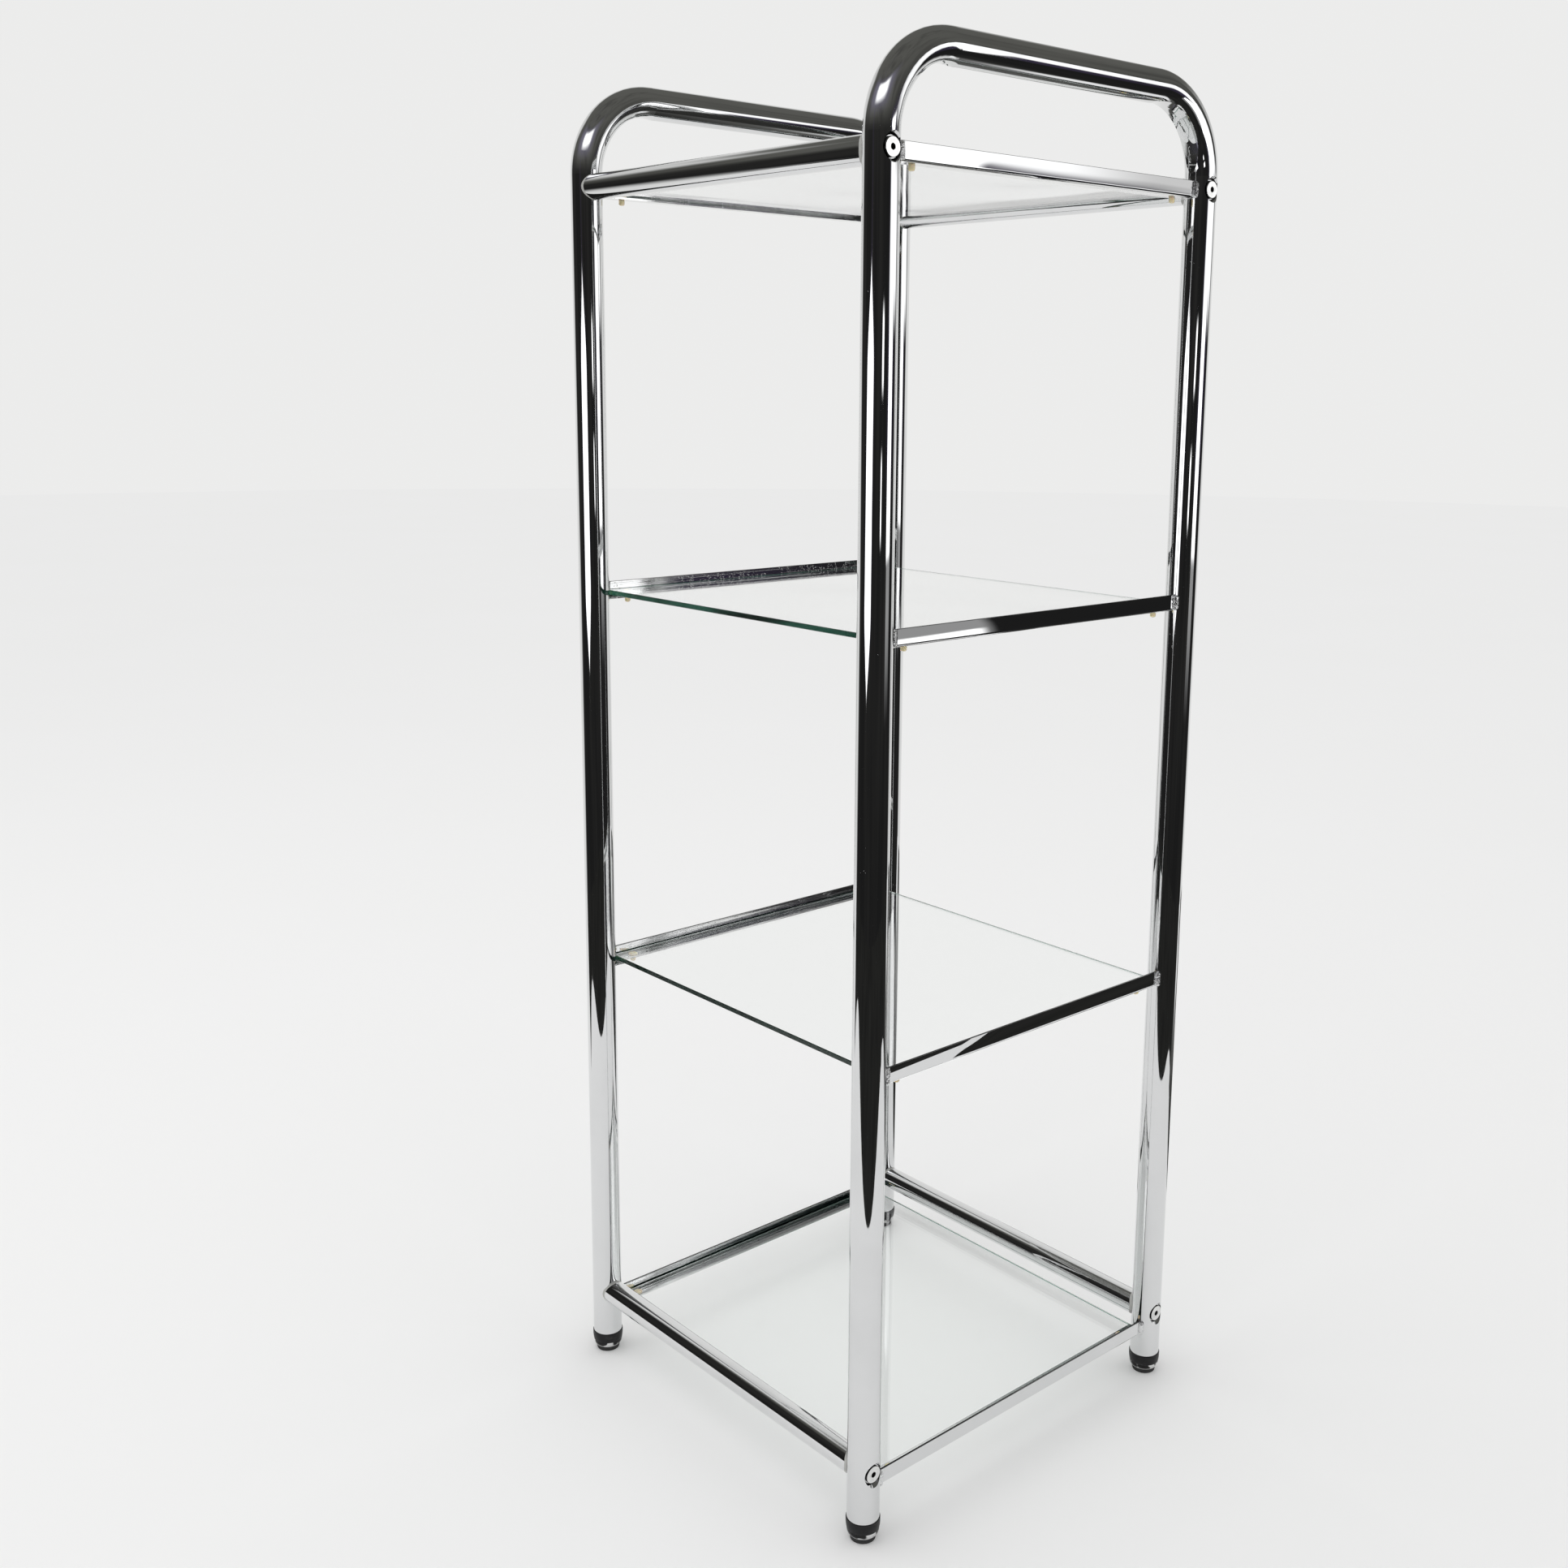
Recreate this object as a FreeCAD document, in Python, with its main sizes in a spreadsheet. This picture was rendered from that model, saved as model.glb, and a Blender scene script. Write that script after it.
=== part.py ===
import FreeCAD, Part
import math
import os
import Sketcher

# A free-standing etagere of chromed steel tube with four loose glass shelves.
# +X runs along the cross tubes from the left side frame to the right one, +Y from the front to the rear.
# The origin lies on the floor, under the middle of the stand.
doc = FreeCAD.newDocument("etagere")
sheet = doc.addObject("Spreadsheet::Sheet", "Sizes")
size_names = []


class Size:
    """A length and the expression that reads it from the sheet."""

    def __init__(self, value, text):
        self.value = value
        self.text = text

    def __add__(self, other):
        return Size(self.value + other.value, f"({self.text} + {other.text})")

    def __sub__(self, other):
        return Size(self.value - other.value, f"({self.text} - {other.text})")

    def __mul__(self, factor):
        return Size(self.value * factor, f"({self.text} * {factor})")

    def __truediv__(self, factor):
        return Size(self.value / factor, f"({self.text} / {factor})")

    def __neg__(self):
        return self * -1


def size(name, value):
    """Write one driving size into the sheet."""
    row = len(size_names) + 1
    size_names.append(name)
    sheet.set(f"A{row}", name)
    sheet.set(f"B{row}", str(value))
    sheet.setAlias(f"B{row}", name)
    return Size(value, f"Sizes.{name}")


centre = Size(0.0, "0")

# The stand as a whole: its height and the distances between the axes of its four legs.
overall_height = size("overall_height", 1080.0)
frame_spacing = size("frame_spacing", 338.0)
leg_spacing = size("leg_spacing", 336.0)

# The bent tube of a side frame, and the pressed dents in which the bolt heads sit.
# The bends were formed round a grooved wheel that has flattened their inner side: the radius of its groove,
# how far its axis lies beyond the middle of the bend, and how deep it bites where the bend begins.
leg_diameter = size("leg_diameter", 25.0)
leg_wall = size("leg_wall", 1.5)
bend_radius = size("bend_radius", 60.0)
wheel_groove = size("wheel_groove", 30.0)
wheel_shift = size("wheel_shift", 3.0)
wheel_bite = size("wheel_bite", 0.9)
dent_depth = size("dent_depth", 3.5)
dent_seat_diameter = size("dent_seat_diameter", 14.4)
dent_mouth_diameter = size("dent_mouth_diameter", 19.6)

# The cross tubes: the height of the lower axes, and how far the upper ones lie below the start of the bends.
cross_diameter = size("cross_diameter", 20.0)
cross_wall = size("cross_wall", 1.5)
cross_height = size("cross_height", 57.0)
cross_drop = size("cross_drop", 9.5)

# The saddle plugs between the cross tubes and the legs.
lip_thickness = size("lip_thickness", 2.0)
plug_length = size("plug_length", 22.0)
plug_clearance = size("plug_clearance", 0.1)
saddle_clearance = size("saddle_clearance", 0.05)

# The bolts.
bolt_diameter = size("bolt_diameter", 6.0)
bolt_reach = size("bolt_reach", 16.0)
bolt_point = size("bolt_point", 0.8)
bolt_hole_clearance = size("bolt_hole_clearance", 0.25)
bolt_thread_clearance = size("bolt_thread_clearance", 0.1)
bolt_head_diameter = size("bolt_head_diameter", 13.5)
bolt_head_height = size("bolt_head_height", 2.0)
bolt_head_edge = size("bolt_head_edge", 0.7)
socket_width = size("socket_width", 4.0)
socket_depth = size("socket_depth", 2.6)

# The shelf rails: an angle whose face stands outside and whose ledge points inwards.
# Three levels are measured from the floor, and the top one down from the axes of the upper cross tubes.
rail_face = size("rail_face", 13.0)
rail_ledge = size("rail_ledge", 13.0)
rail_thickness = size("rail_thickness", 1.5)
rail_bend = size("rail_bend", 2.4)
rail_offset = size("rail_offset", 4.0)
weld_clearance = size("weld_clearance", 0.02)
bead_width = size("bead_width", 6.0)
bead_height = size("bead_height", 12.0)
bead_round = size("bead_round", 2.2)
rail_height_bottom = size("rail_height_bottom", 38.0)
rail_height_lower = size("rail_height_lower", 358.0)
rail_height_upper = size("rail_height_upper", 674.0)
rail_drop = size("rail_drop", 7.0)

# The bumpers in the ledges.
bumper_inset = size("bumper_inset", 30.5)
bumper_setback = size("bumper_setback", 7.5)
bumper_hole = size("bumper_hole", 4.0)
bumper_clearance = size("bumper_clearance", 0.1)
bumper_head_diameter = size("bumper_head_diameter", 8.0)
bumper_head_height = size("bumper_head_height", 1.0)
bumper_tail_diameter = size("bumper_tail_diameter", 4.6)
bumper_tail_round = size("bumper_tail_round", 1.4)
bumper_tail_length = size("bumper_tail_length", 4.4)

# The glass shelves.
glass_thickness = size("glass_thickness", 4.0)
glass_leg_gap = size("glass_leg_gap", 1.0)
glass_rail_gap = size("glass_rail_gap", 1.0)
glass_corner = size("glass_corner", 2.5)
glass_arris = size("glass_arris", 0.5)

# The feet: a collar pushed into the tube, a bright dome under it and a pad on the floor.
collar_diameter = size("collar_diameter", 26.0)
collar_foot_diameter = size("collar_foot_diameter", 24.8)
collar_height = size("collar_height", 8.5)
collar_round = size("collar_round", 30.0)
insert_length = size("insert_length", 16.0)
insert_clearance = size("insert_clearance", 0.1)
dome_diameter = size("dome_diameter", 24.6)
dome_foot_diameter = size("dome_foot_diameter", 21.2)
dome_height = size("dome_height", 5.0)
dome_round = size("dome_round", 6.0)
pad_diameter = size("pad_diameter", 20.8)
pad_foot_diameter = size("pad_foot_diameter", 19.2)
pad_height = size("pad_height", 4.0)

leg_radius = leg_diameter / 2
leg_bore = leg_radius - leg_wall
leg_end = pad_height + dome_height + collar_height
arch_height = overall_height - leg_radius
cross_height_top = arch_height - bend_radius - cross_drop
half_frame = frame_spacing / 2
half_leg = leg_spacing / 2
bolt_radius = bolt_diameter / 2
cross_radius = cross_diameter / 2
cross_bore = cross_radius - cross_wall
sides = {"left": -1, "right": 1}
right = sides["right"]
depths = {"front": -1, "rear": 1}
cross_heights = {"bottom": cross_height, "top": cross_height_top}
rail_heights = {
    "bottom": rail_height_bottom,
    "lower": rail_height_lower,
    "upper": rail_height_upper,
    "top": cross_height_top - rail_drop,
}
outward = {-1: FreeCAD.Rotation(0, -90, 0), 1: FreeCAD.Rotation(0, 90, 0)}
half_turn = {-1: FreeCAD.Rotation(180, 0, 0), 1: FreeCAD.Rotation()}


def bind(thing, **lengths):
    """Tie properties of an object to the sheet."""
    for name, length in lengths.items():
        thing.setExpression(name, length.text)


def place(thing, x, y, z, rotation=FreeCAD.Rotation()):
    """Put an object at a point that follows the sheet."""
    thing.Placement = FreeCAD.Placement(FreeCAD.Vector(x.value, y.value, z.value), rotation)
    for axis, length in zip("xyz", (x, y, z)):
        thing.setExpression(f"Placement.Base.{axis}", length.text)


def primitive(kind, name, x, y, z, rotation=FreeCAD.Rotation(), **lengths):
    """One basic solid or curve, sized and placed from the sheet."""
    thing = doc.addObject(f"Part::{kind}", name)
    bind(thing, **lengths)
    place(thing, x, y, z, rotation)
    return thing


def joined(name, shapes):
    """Several solids as one."""
    thing = doc.addObject("Part::MultiFuse", name)
    thing.Shapes = shapes
    return thing


def cut(name, base, tool):
    """One solid less another."""
    thing = doc.addObject("Part::Cut", name)
    thing.Base = base
    thing.Tool = tool
    return thing


def sketch_on(body, name, role):
    """An empty sketch on one of the body's own planes."""
    sketch = body.newObject("Sketcher::SketchObject", name)
    plane = [feature for feature in body.Origin.OriginFeatures if feature.Role == role][0]
    sketch.AttachmentSupport = (plane, [""])
    sketch.MapMode = "FlatFace"
    return sketch


def measure(sketch, length, kind, *places):
    """One dimension of a sketch, tied to the sheet."""
    index = sketch.addConstraint(Sketcher.Constraint(kind, *places, length.value))
    sketch.setExpression(f"Constraints[{index}]", length.text)


def pin(sketch, curve, point, x, y):
    """Hold one point of a curve at its distances from the sketch's axes."""
    for kind, axis, length in (("DistanceX", -2, x), ("DistanceY", -1, y)):
        if length is centre:
            sketch.addConstraint(Sketcher.Constraint("PointOnObject", curve, point, axis))
        else:
            measure(sketch, length, kind, -1, 1, curve, point)


def ring(sketch, x, y, radius):
    """A circle at a point of the sketch."""
    middle = FreeCAD.Vector(x.value, y.value, 0)
    curve = sketch.addGeometry(Part.Circle(middle, FreeCAD.Vector(0, 0, 1), radius.value), False)
    if x is centre and y is centre:
        sketch.addConstraint(Sketcher.Constraint("Coincident", curve, 3, -1, 1))
    else:
        pin(sketch, curve, 3, x, y)
    measure(sketch, radius, "Radius", curve)


def outline(sketch, corners, rounds=None):
    """A closed outline, counter-clockwise; rounds gives the radius of each stretch that bulges."""
    rounds = rounds or {}
    following = corners[1:] + corners[:1]
    for number, (start, end) in enumerate(zip(corners, following)):
        first = FreeCAD.Vector(start[0].value, start[1].value, 0)
        last = FreeCAD.Vector(end[0].value, end[1].value, 0)
        curve = Part.LineSegment(first, last)
        if number in rounds:
            chord = last - first
            radius = rounds[number].value
            rise = radius - math.sqrt(radius ** 2 - (chord.Length / 2) ** 2)
            bulge = FreeCAD.Vector(chord.y, -chord.x, 0).normalize() * rise
            curve = Part.Arc(first, (first + last) / 2 + bulge, last)
        sketch.addGeometry(curve, False)
    for number, corner in enumerate(corners):
        sketch.addConstraint(Sketcher.Constraint("Coincident", number, 2, (number + 1) % len(corners), 1))
        pin(sketch, number, 1, *corner)
    for number, radius in rounds.items():
        measure(sketch, radius, "Radius", number)


def turned(name, corners, rounds=None):
    """A turned piece: an outline of radius and height, revolved about the upright axis."""
    body = doc.addObject("PartDesign::Body", name)
    profile = sketch_on(body, f"{name}_profile", "XZ_Plane")
    outline(profile, corners, rounds)
    revolution = body.newObject("PartDesign::Revolution", f"{name}_turning")
    revolution.Profile = profile
    revolution.ReferenceAxis = (profile, ["V_Axis"])
    revolution.Angle = 360
    return body


def padded(body, name, profile, length, symmetric):
    """An outline drawn out to a length."""
    pad = body.newObject("PartDesign::Pad", name)
    pad.Profile = profile
    pad.SideType = "Symmetric" if symmetric else "One side"
    bind(pad, Length=length)
    return pad


def cut_through(body, name, profile):
    """An outline cut right through the body, both ways."""
    before = body.Tip
    pocket = body.newObject("PartDesign::Pocket", name)
    pocket.Profile = profile
    pocket.Type = "ThroughAll"
    pocket.SideType = "Symmetric"
    doc.recompute()
    if pocket.Shape.Volume >= before.Shape.Volume:
        raise ValueError(f"{name} cuts nothing")
    return pocket


def edges_where(feature, fits):
    """The names of a feature's edges whose ends and middle all pass a test."""
    chosen = []
    for number, edge in enumerate(feature.Shape.Edges, start=1):
        points = [vertex.Point for vertex in edge.Vertexes] + [edge.CenterOfMass]
        if all(fits(point) for point in points):
            chosen.append(f"Edge{number}")
    return chosen


def dressed(body, name, kind, base, edges, **lengths):
    """A fillet or chamfer along edges of the last feature."""
    feature = body.newObject(f"PartDesign::{kind}", name)
    feature.Base = (base, edges)
    bind(feature, **lengths)
    return feature


def near(first, second):
    """Whether two lengths are the same to within a thousandth."""
    return abs(first - second) < 0.001


def along(x, z):
    """A test for points on a line that runs from front to rear."""
    return lambda point: near(point.x, x.value) and near(point.z, z.value)


# A side frame is one tube bent to an inverted U, its two legs standing under a straight top.
# Each bend is flattened on its inner side, from a crease under the top to a gentle run-out at the leg.
# Each leg is dented at both cross tubes, on the outer side. The wall is pressed in and kept whole in both.
# Every dent is a cone with a flat seat, and a bolt hole runs from it through both walls.
def frame_path(name, x):
    sketch = doc.addObject("Sketcher::SketchObject", name)
    place(sketch, x, centre, centre, FreeCAD.Rotation(FreeCAD.Vector(1, 1, 1), 120))
    front = -half_leg.value
    rear = half_leg.value
    low = leg_end.value
    high = arch_height.value
    bend = bend_radius.value
    slant = bend * math.sqrt(0.5)

    def point(y, z):
        return FreeCAD.Vector(y, z, 0)

    sketch.addGeometry(Part.LineSegment(point(front, low), point(front, high - bend)), False)
    front_crown = point(front + bend - slant, high - bend + slant)
    sketch.addGeometry(Part.Arc(point(front, high - bend), front_crown, point(front + bend, high)), False)
    sketch.addGeometry(Part.LineSegment(point(front + bend, high), point(rear - bend, high)), False)
    rear_crown = point(rear - bend + slant, high - bend + slant)
    sketch.addGeometry(Part.Arc(point(rear - bend, high), rear_crown, point(rear, high - bend)), False)
    sketch.addGeometry(Part.LineSegment(point(rear, high - bend), point(rear, low)), False)
    # a clockwise bend starts at its second point
    joints = ((0, 2, 1, 2), (1, 1, 2, 1), (2, 2, 3, 2), (3, 1, 4, 1))
    for joint in joints:
        sketch.addConstraint(Sketcher.Constraint("Tangent", *joint))
    sketch.addConstraint(Sketcher.Constraint("Vertical", 0))
    sketch.addConstraint(Sketcher.Constraint("Horizontal", 2))
    sketch.addConstraint(Sketcher.Constraint("Vertical", 4))
    pin(sketch, 0, 1, -half_leg, leg_end)
    pin(sketch, 4, 2, half_leg, leg_end)
    measure(sketch, arch_height, "DistanceY", -1, 1, 2, 1)
    measure(sketch, bend_radius, "Radius", 1)
    measure(sketch, bend_radius, "Radius", 3)
    return sketch


def bent_rod(name, path, x, radius):
    section = primitive("Circle", f"{name}_section", x, -half_leg, leg_end, Radius=radius)
    rod = doc.addObject("Part::Sweep", name)
    rod.Sections = [section]
    rod.Spine = (path, [f"Edge{number}" for number in range(1, 6)])
    rod.Solid = True
    return rod


def dent_cones(name, side, sunk):
    slope = (dent_mouth_diameter - dent_seat_diameter) / 2
    seat = dent_seat_diameter / 2 + sunk
    x = (half_frame + leg_radius - dent_depth - sunk) * side
    cones = []
    for depth_name, depth in depths.items():
        for level, height in cross_heights.items():
            cone = primitive("Cone", f"{name}_{depth_name}_{level}",
                             x, half_leg * depth, height, outward[side],
                             Radius1=seat, Radius2=seat + slope * 2, Height=dent_depth * 2)
            cones.append(cone)
    return cones


def forming_wheels(name, side, sunk):
    x = half_frame * side
    z = arch_height - bend_radius + wheel_shift + wheel_bite
    reach = bend_radius - leg_radius - wheel_shift
    wheels = []
    for depth_name, depth in depths.items():
        y = (half_leg - bend_radius + wheel_shift) * depth
        disc = primitive("Cylinder", f"{name}_disc_{depth_name}", x - leg_radius, y, z, outward[right],
                         Radius=reach + leg_radius / 2, Height=leg_diameter)
        groove = primitive("Torus", f"{name}_groove_{depth_name}", x, y, z, outward[right],
                           Radius1=reach + wheel_groove, Radius2=wheel_groove - sunk)
        wheels.append(cut(f"{name}_{depth_name}", disc, groove))
    return wheels


def side_frame(label, side):
    x = half_frame * side
    path = frame_path(f"{label}_path", x)
    rods = {"outer": (leg_radius, centre), "inner": (leg_bore, leg_wall)}
    pressed = {}
    for surface, (radius, sunk) in rods.items():
        rod = bent_rod(f"{label}_{surface}_rod", path, x, radius)
        dents = dent_cones(f"{label}_{surface}_dent", side, sunk)
        wheels = forming_wheels(f"{label}_{surface}_wheel", side, sunk)
        marks = joined(f"{label}_{surface}_marks", dents + wheels)
        pressed[surface] = cut(f"{label}_{surface}", rod, marks)
    tube = cut(f"{label}_tube", pressed["outer"], pressed["inner"])
    holes = []
    for depth_name, depth in depths.items():
        for level, height in cross_heights.items():
            hole = primitive("Cylinder", f"{label}_hole_{depth_name}_{level}",
                             x - leg_diameter, half_leg * depth, height, outward[right],
                             Radius=bolt_radius + bolt_hole_clearance, Height=leg_diameter * 2)
            holes.append(hole)
    return cut(label, tube, joined(f"{label}_holes", holes))


nodes = []
for side_name, side in sides.items():
    nodes.append(side_frame(f"{side_name}_side_frame", side))


# A shelf rail is an angle bent from strip, with its ends coped to fit round the two legs.
# A hole near each end of its ledge takes a bumper, and a weld bead stands at each end of its face.
def weld_bead(label, side, depth, height):
    radius = bead_width / 2
    lump = turned(f"{label}_lump", [
        (centre, centre),
        (radius - bead_round, centre),
        (radius, bead_round),
        (radius, bead_height - bead_round),
        (radius - bead_round, bead_height),
        (centre, bead_height),
    ], {1: bead_round, 3: bead_round})
    foot = height + (rail_face - bead_height) / 2
    place(lump, (half_frame + rail_offset) * side, (half_leg - leg_radius) * depth, foot)
    leg = primitive("Cylinder", f"{label}_leg", half_frame * side, half_leg * depth, foot - bead_height,
                    Radius=leg_radius + weld_clearance, Height=bead_height * 3)
    return cut(label, lump, leg)


def rail(label, side, height):
    body = doc.addObject("PartDesign::Body", f"{label}_angle")
    profile = sketch_on(body, f"{label}_profile", "XZ_Plane")
    inner_edge = rail_offset - rail_ledge
    inner_face = rail_offset - rail_thickness
    outline(profile, [
        (inner_edge, centre),
        (rail_offset, centre),
        (rail_offset, rail_face),
        (inner_face, rail_face),
        (inner_face, rail_thickness),
        (inner_edge, rail_thickness),
    ])
    strip = padded(body, f"{label}_strip", profile, leg_spacing, True)
    doc.recompute()
    outer_corner = edges_where(strip, along(rail_offset, centre))
    bend = dressed(body, f"{label}_outer_bend", "Fillet", strip, outer_corner, Radius=rail_bend)
    doc.recompute()
    inner_corner = edges_where(bend, along(inner_face, rail_thickness))
    dressed(body, f"{label}_inner_bend", "Fillet", bend, inner_corner, Radius=rail_bend - rail_thickness)
    doc.recompute()
    copes = sketch_on(body, f"{label}_copes", "XY_Plane")
    holes = sketch_on(body, f"{label}_holes", "XY_Plane")
    for depth in depths.values():
        ring(copes, centre, half_leg * depth, leg_radius + weld_clearance)
        ring(holes, rail_offset - bumper_setback, (half_leg - bumper_inset) * depth, bumper_hole / 2)
    cut_through(body, f"{label}_coping", copes)
    cut_through(body, f"{label}_bumper_holes", holes)
    place(body, half_frame * side, centre, height, half_turn[side])
    beads = []
    for depth_name, depth in depths.items():
        beads.append(weld_bead(f"{label}_bead_{depth_name}", side, depth, height))
    return joined(label, [body] + beads)


for side_name, side in sides.items():
    for level, height in rail_heights.items():
        nodes.append(rail(f"{side_name}_rail_{level}", side, height))


# A cross tube is a thin tube whose ends are coped to a saddle, one plug lip away from the legs.
def cross_tube(label, depth, height):
    body = doc.addObject("PartDesign::Body", label)
    section = sketch_on(body, f"{label}_section", "YZ_Plane")
    ring(section, centre, centre, cross_radius)
    ring(section, centre, centre, cross_bore)
    padded(body, f"{label}_tube", section, frame_spacing, True)
    doc.recompute()
    copes = sketch_on(body, f"{label}_copes", "XY_Plane")
    for side in sides.values():
        ring(copes, half_frame * side, centre, leg_radius + saddle_clearance + lip_thickness)
    cut_through(body, f"{label}_coping", copes)
    place(body, centre, half_leg * depth, height)
    return body


# A saddle plug fills the end of a cross tube: its lip is hollowed to the leg, and the bolt screws into it.
def saddle_plug(label, side, depth, height):
    inward = outward[-side]
    end = leg_radius + saddle_clearance + lip_thickness
    body_length = end + plug_length
    disc = primitive("Cylinder", f"{label}_disc", centre, centre, centre, inward,
                     Radius=cross_radius, Height=end)
    lip_round = primitive("Cylinder", f"{label}_lip_round", centre, centre, -cross_diameter,
                          Radius=end, Height=cross_diameter * 2)
    lip = doc.addObject("Part::Common", f"{label}_lip")
    lip.Base = disc
    lip.Tool = lip_round
    spigot = primitive("Cylinder", f"{label}_spigot", centre, centre, centre, inward,
                       Radius=cross_bore - plug_clearance, Height=body_length)
    saddle = primitive("Cylinder", f"{label}_saddle", centre, centre, -cross_diameter,
                       Radius=leg_radius + saddle_clearance, Height=cross_diameter * 2)
    bore = primitive("Cylinder", f"{label}_bore", centre, centre, centre, inward,
                     Radius=bolt_radius + bolt_thread_clearance, Height=body_length * 2)
    filled = joined(f"{label}_filled", [lip, spigot])
    hollows = joined(f"{label}_hollows", [saddle, bore])
    plug = cut(label, filled, hollows)
    place(plug, half_frame * side, half_leg * depth, height)
    return plug


# A bolt has a flat round head with a hexagon socket; it sits in the dent and ends inside the plug.
def bolt(label, side, depth, height):
    seat = leg_radius - dent_depth
    shank = seat + leg_radius + saddle_clearance + lip_thickness + bolt_reach
    head_radius = bolt_head_diameter / 2
    blank = turned(f"{label}_blank", [
        (centre, -shank),
        (bolt_radius - bolt_point, -shank),
        (bolt_radius, bolt_point - shank),
        (bolt_radius, centre),
        (head_radius, centre),
        (head_radius, bolt_head_height - bolt_head_edge),
        (head_radius - bolt_head_edge, bolt_head_height),
        (centre, bolt_head_height),
    ], {5: bolt_head_edge})
    socket = primitive("Prism", f"{label}_socket", centre, centre, bolt_head_height - socket_depth,
                       Circumradius=socket_width / math.sqrt(3), Height=socket_depth * 2)
    socket.Polygon = 6
    screw = cut(label, blank, socket)
    place(screw, (half_frame + seat) * side, half_leg * depth, height, outward[side])
    return screw


bolts = []
for depth_name, depth in depths.items():
    for level, height in cross_heights.items():
        nodes.append(cross_tube(f"{depth_name}_cross_tube_{level}", depth, height))
        for side_name, side in sides.items():
            place_name = f"{depth_name}_{side_name}_{level}"
            nodes.append(saddle_plug(f"saddle_plug_{place_name}", side, depth, height))
            bolts.append(bolt(f"bolt_{place_name}", side, depth, height))
all_bolts = doc.addObject("Part::Compound", "bolts")
all_bolts.Links = bolts
nodes.append(all_bolts)


# A bumper is a soft plastic stud: its low head carries the glass, and its round-ended tail,
# which is wider than the hole and was squeezed through it, hangs under the ledge.
def bumper(label, side, depth, height):
    neck = bumper_hole / 2 - bumper_clearance
    tail = bumper_tail_diameter / 2
    head = bumper_head_diameter / 2
    half_head = bumper_head_height / 2
    tail_top = -rail_thickness - bumper_clearance
    tip = -rail_thickness - bumper_tail_length
    stud = turned(label, [
        (centre, tip),
        (tail - bumper_tail_round, tip),
        (tail, tip + bumper_tail_round),
        (tail, tail_top),
        (neck, tail_top),
        (neck, centre),
        (head, centre),
        (head, half_head),
        (head - half_head, bumper_head_height),
        (centre, bumper_head_height),
    ], {1: bumper_tail_round, 7: half_head})
    x = (half_frame + rail_offset - bumper_setback) * side
    place(stud, x, (half_leg - bumper_inset) * depth, height + rail_thickness)
    return stud


# A shelf is a sheet of clear glass with rounded corners and ground edges, lying loose on four bumpers.
def glass_shelf(label, height):
    body = doc.addObject("PartDesign::Body", label)
    profile = sketch_on(body, f"{label}_profile", "XY_Plane")
    half_width = half_frame + rail_offset - rail_thickness - glass_rail_gap
    half_depth = half_leg - leg_radius - glass_leg_gap
    outline(profile, [
        (-half_width, -half_depth),
        (half_width, -half_depth),
        (half_width, half_depth),
        (-half_width, half_depth),
    ])

    def at_corner(point):
        return near(abs(point.x), half_width.value) and near(abs(point.y), half_depth.value)

    def on_face(point):
        return near(point.z, 0) or near(point.z, glass_thickness.value)

    sheet_glass = padded(body, f"{label}_sheet", profile, glass_thickness, False)
    doc.recompute()
    uprights = edges_where(sheet_glass, at_corner)
    rounded = dressed(body, f"{label}_corners", "Fillet", sheet_glass, uprights, Radius=glass_corner)
    doc.recompute()
    rims = edges_where(rounded, on_face)
    dressed(body, f"{label}_arris", "Chamfer", rounded, rims, Size=glass_arris)
    place(body, centre, centre, height + rail_thickness + bumper_head_height)
    return body


for level, height in rail_heights.items():
    studs = []
    for side_name, side in sides.items():
        for depth_name, depth in depths.items():
            studs.append(bumper(f"bumper_{depth_name}_{side_name}_{level}", side, depth, height))
    bumpers = doc.addObject("Part::Compound", f"bumpers_{level}")
    bumpers.Links = studs
    nodes.append(bumpers)
    nodes.append(glass_shelf(f"glass_shelf_{level}", height))


# A foot closes the lower end of each leg: collar, dome and pad lie on one another.
def foot(label, side, depth):
    x = half_frame * side
    y = half_leg * depth
    dome_base = pad_height
    collar_base = pad_height + dome_height
    insert_radius = leg_bore - insert_clearance
    pad = turned(f"foot_pad_{label}", [
        (centre, centre),
        (pad_foot_diameter / 2, centre),
        (pad_diameter / 2, pad_height),
        (centre, pad_height),
    ])
    dome = turned(f"foot_dome_{label}", [
        (centre, centre),
        (dome_foot_diameter / 2, centre),
        (dome_diameter / 2, dome_height),
        (centre, dome_height),
    ], {1: dome_round})
    collar = turned(f"foot_collar_{label}", [
        (centre, centre),
        (collar_foot_diameter / 2, centre),
        (collar_diameter / 2, collar_height),
        (insert_radius, collar_height),
        (insert_radius, collar_height + insert_length),
        (centre, collar_height + insert_length),
    ], {1: collar_round})
    place(pad, x, y, centre)
    place(dome, x, y, dome_base)
    place(collar, x, y, collar_base)
    return [pad, dome, collar]


for depth_name, depth in depths.items():
    for side_name, side in sides.items():
        nodes.extend(foot(f"{depth_name}_{side_name}", side, depth))

doc.recompute()
for thing in doc.Objects:
    if "Invalid" in thing.State or "Error" in thing.State:
        raise ValueError(f"{thing.Label} failed")
for node in nodes:
    if node.Shape.isNull() or not node.Shape.isValid():
        raise ValueError(f"{node.Label} has no valid shape")

os.makedirs("parts", exist_ok=True)
for node in nodes:
    node.Shape.exportStep(f"parts/{node.Label}.step")
    print(node.Label, len(node.Shape.Solids), round(node.Shape.Volume, 1))
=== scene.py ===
import math

import bpy
from mathutils import Matrix, Vector


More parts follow.
